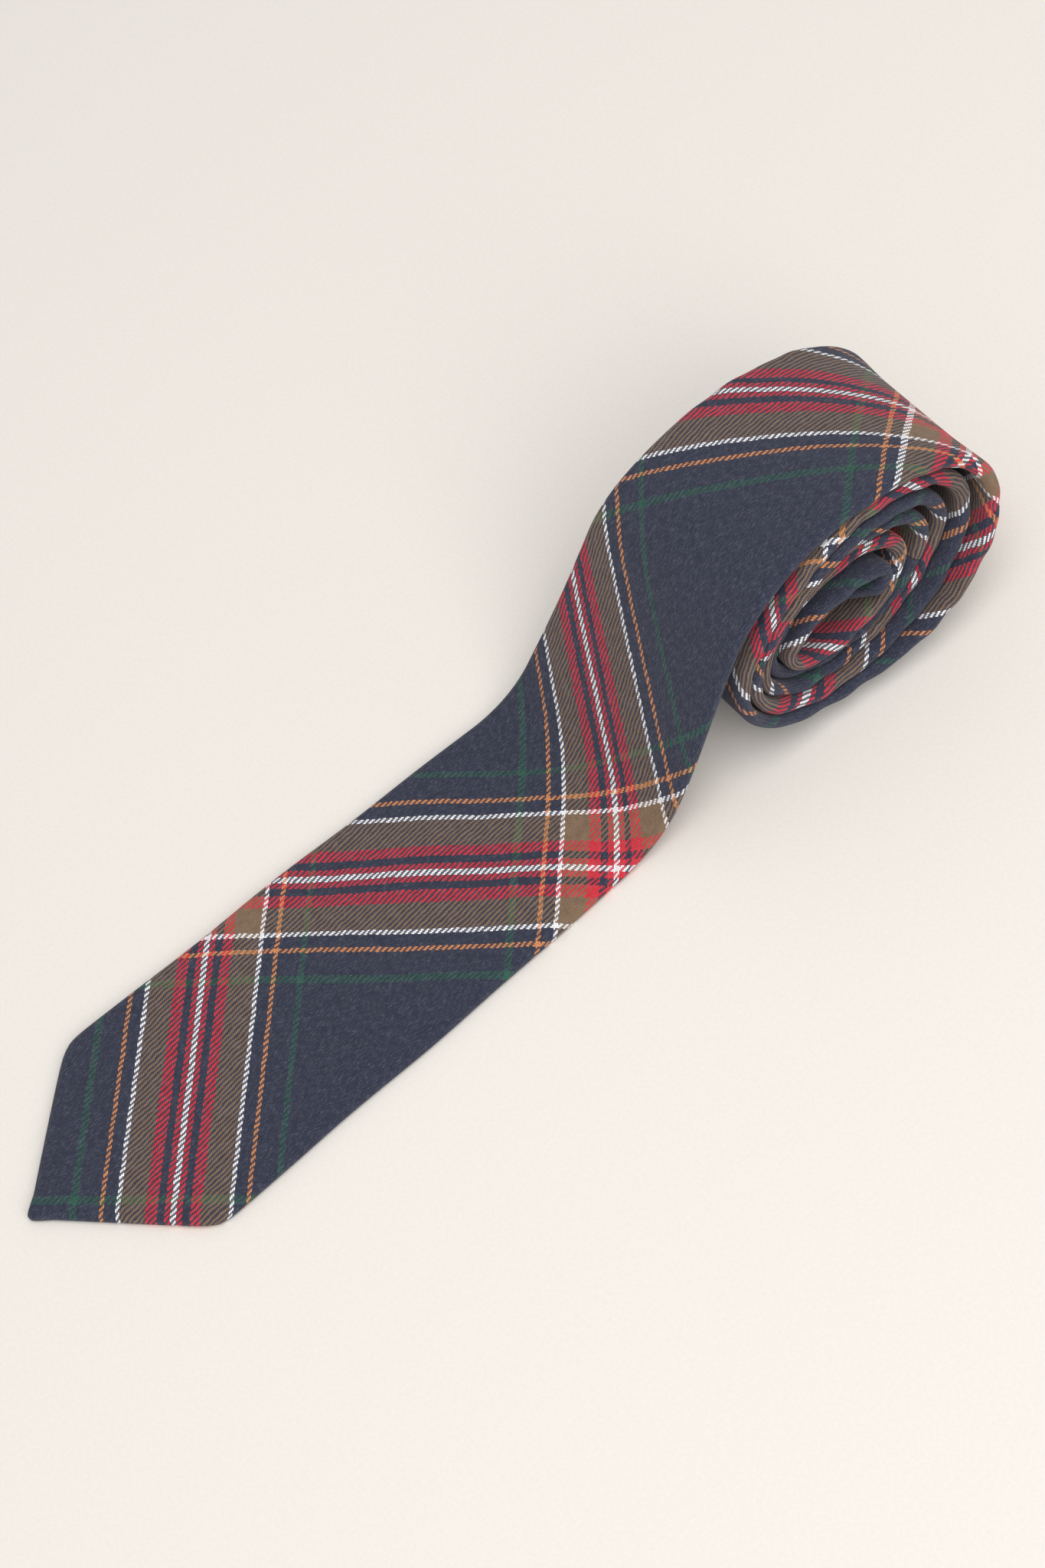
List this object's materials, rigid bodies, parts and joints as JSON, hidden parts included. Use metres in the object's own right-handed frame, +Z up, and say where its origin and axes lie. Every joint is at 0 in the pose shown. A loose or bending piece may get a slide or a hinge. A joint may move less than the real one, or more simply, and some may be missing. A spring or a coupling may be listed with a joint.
{
  "type": "necktie",
  "caption": "Rolled flannel necktie in a tartan weave, wide pointed blade lying flat and the narrow end wound into a roll.",
  "frame": {"origin": "middle of the footprint, on the surface that the tie lies on", "axes": "+X along the tie from the tip of the wide blade to the roll, +Y across the blade, +Z up"},
  "size_m": [0.3414, 0.08, 0.0699],
  "materials": {
    "tartan_flannel": "brushed twill",
    "interlining": "napped",
    "tipping": "satin",
    "thread": "twisted",
    "label": "satin"
  },
  "bodies": {
    "blade_tip": {"tip_shell": "tartan_flannel", "tip_interlining": "interlining", "tip_tipping": "tipping", "blade_bar_tack": "thread"},
    "blade": {"blade_shell": "tartan_flannel", "blade_interlining": "interlining", "blade_slip_stitch": "thread"},
    "ramp": {"ramp_shell": "tartan_flannel", "ramp_interlining": "interlining", "ramp_slip_stitch": "thread", "keeper_loop": "tartan_flannel", "keeper_tack_left": "thread", "keeper_tack_right": "thread", "care_label": "label"},
    "roll": {"crest_shell": "tartan_flannel", "neck_shell": "tartan_flannel", "tail_shell": "tartan_flannel", "crest_interlining": "interlining", "neck_interlining": "interlining", "tail_interlining": "interlining", "blade_neck_seam": "thread", "neck_tail_seam": "thread", "roll_slip_stitch": "thread", "tail_tipping": "tipping", "tail_bar_tack": "thread"}
  },
  "joints": [
    {"name": "crest_unroll", "type": "hinge", "parent": "roll", "child": "ramp", "pos_m": [0.07598, 0.00235, 0.05074], "axis": [0, 0.9925, -0.1219], "range_deg": [0, 50]},
    {"name": "foot_lift", "type": "hinge", "parent": "ramp", "child": "blade", "pos_m": [0.01627, 0, 0.0035], "axis": [0, 1, 0], "range_deg": [0, 80]},
    {"name": "tip_lift", "type": "hinge", "parent": "blade", "child": "blade_tip", "pos_m": [-0.07073, 0, 0.0035], "axis": [0, 1, 0], "range_deg": [0, 70]}
  ]
}
